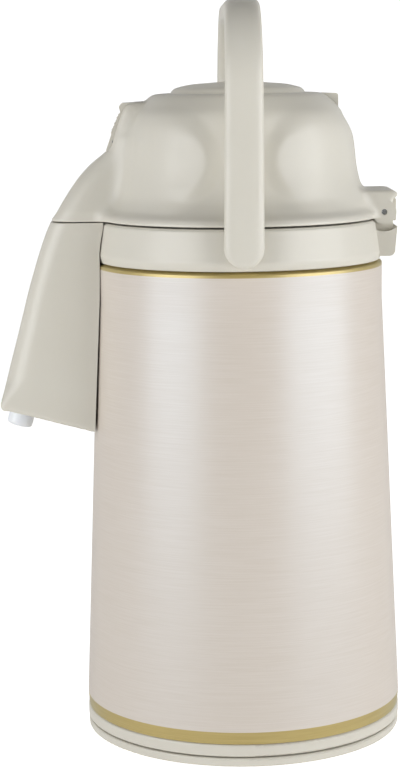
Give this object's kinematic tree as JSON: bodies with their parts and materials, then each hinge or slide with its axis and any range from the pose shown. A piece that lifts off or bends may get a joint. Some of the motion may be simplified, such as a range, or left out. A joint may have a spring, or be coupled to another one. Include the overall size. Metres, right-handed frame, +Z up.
{
  "type": "pump pot",
  "caption": "Glass-lined vacuum jug with a tapered steel shell, front spout, hinged lid with a push-plate air pump, swinging carry handle and swivel base.",
  "frame": {"origin": "on the body's axis at the floor, at the middle of the foot ring's rest face", "axes": "+Z up along the body's axis, -X towards the spout, +X towards the lid's hinge"},
  "size_m": [0.2147, 0.1742, 0.392],
  "materials": {
    "ivory_plastic": "glossy moulded ivory polypropylene",
    "inner_plastic": "plain moulded white polypropylene",
    "lacquered_shell": "pearl champagne lacquer on rolled steel with gold bands at both ends",
    "silvered_glass": "silvered vacuum glass",
    "silicone": "soft grey silicone rubber",
    "steel": "plain bright steel",
    "clear_plastic": "frosted translucent polypropylene"
  },
  "bodies": {
    "pot": {"bottom_cover": "ivory_plastic", "swivel_washer": "steel", "swivel_screw": "steel", "bottom_cushion": "silicone", "outer_shell": "lacquered_shell", "collar": "ivory_plastic", "hinge_pin": "steel", "handle_pivots": "steel", "liner_inner": "silvered_glass", "liner_jacket": "silvered_glass", "neck_seal": "silicone", "siphon_tube": "inner_plastic", "delivery_pipe": "inner_plastic", "pipe_holder": "inner_plastic", "spout_housing": "ivory_plastic", "spout_screws": "steel", "nozzle": "clear_plastic"},
    "swivel_base": {"turntable": "ivory_plastic", "foot_ring": "silicone", "glide_pads": "inner_plastic"},
    "lid": {"lid_cover": "ivory_plastic", "lid_base": "inner_plastic", "lid_screws": "steel", "lid_gasket": "silicone", "outlet_valve": "silicone", "valve_cage": "inner_plastic", "bellows": "silicone", "return_spring": "steel", "latch_pin": "steel", "release_pin": "steel"},
    "push_plate": {"push_plate": "ivory_plastic", "inlet_valve": "silicone"},
    "lock_ring": {"lock_ring": "ivory_plastic"},
    "latch_lever": {"latch_lever": "ivory_plastic"},
    "hinge_release": {"hinge_release": "ivory_plastic"},
    "tilt_ball": {"tilt_ball": "steel"},
    "handle": {"handle": "ivory_plastic"}
  },
  "joints": [
    {"name": "base_swivel", "type": "hinge", "parent": "pot", "child": "swivel_base", "pos_m": [0, 0, 0.003], "axis": [0, 0, 1], "continuous": true},
    {"name": "lid_hinge", "type": "hinge", "parent": "pot", "child": "lid", "pos_m": [0.076, 0, 0.281], "axis": [0, 1, 0], "range_deg": [0, 60]},
    {"name": "handle_swing", "type": "hinge", "parent": "pot", "child": "handle", "pos_m": [0, 0, 0.268], "axis": [0, 1, 0], "range_deg": [0, 120]},
    {"name": "plate_press", "type": "slide", "parent": "lid", "child": "push_plate", "axis": [0, 0, -1], "range_m": [0, 0.025], "stiffness_N_per_m": 200, "springref_m": -0.02, "deforming": ["bellows", "return_spring"]},
    {"name": "lock_turn", "type": "hinge", "parent": "lid", "child": "lock_ring", "pos_m": [0, 0, 0.332], "axis": [0, 0, 1], "range_deg": [0, 30]},
    {"name": "latch_press", "type": "hinge", "parent": "lid", "child": "latch_lever", "pos_m": [-0.0652, 0, 0.319], "axis": [0, 1, 0], "range_deg": [0, 5], "stiffness_Nm_per_rad": 0.5, "springref_deg": -11.46},
    {"name": "hinge_release_press", "type": "hinge", "parent": "lid", "child": "hinge_release", "pos_m": [0.0804, 0, 0.2888], "axis": [0, 1, 0], "range_deg": [0, 12], "stiffness_Nm_per_rad": 0.05, "springref_deg": -11.46},
    {"name": "tilt_ball_lift", "type": "slide", "parent": "lid", "child": "tilt_ball", "axis": [0, 0, 1], "range_m": [0, 0.0022]}
  ],
  "couplings": [
    {"joint": "handle_swing", "follows": "lid_hinge", "ratio": 2}
  ]
}
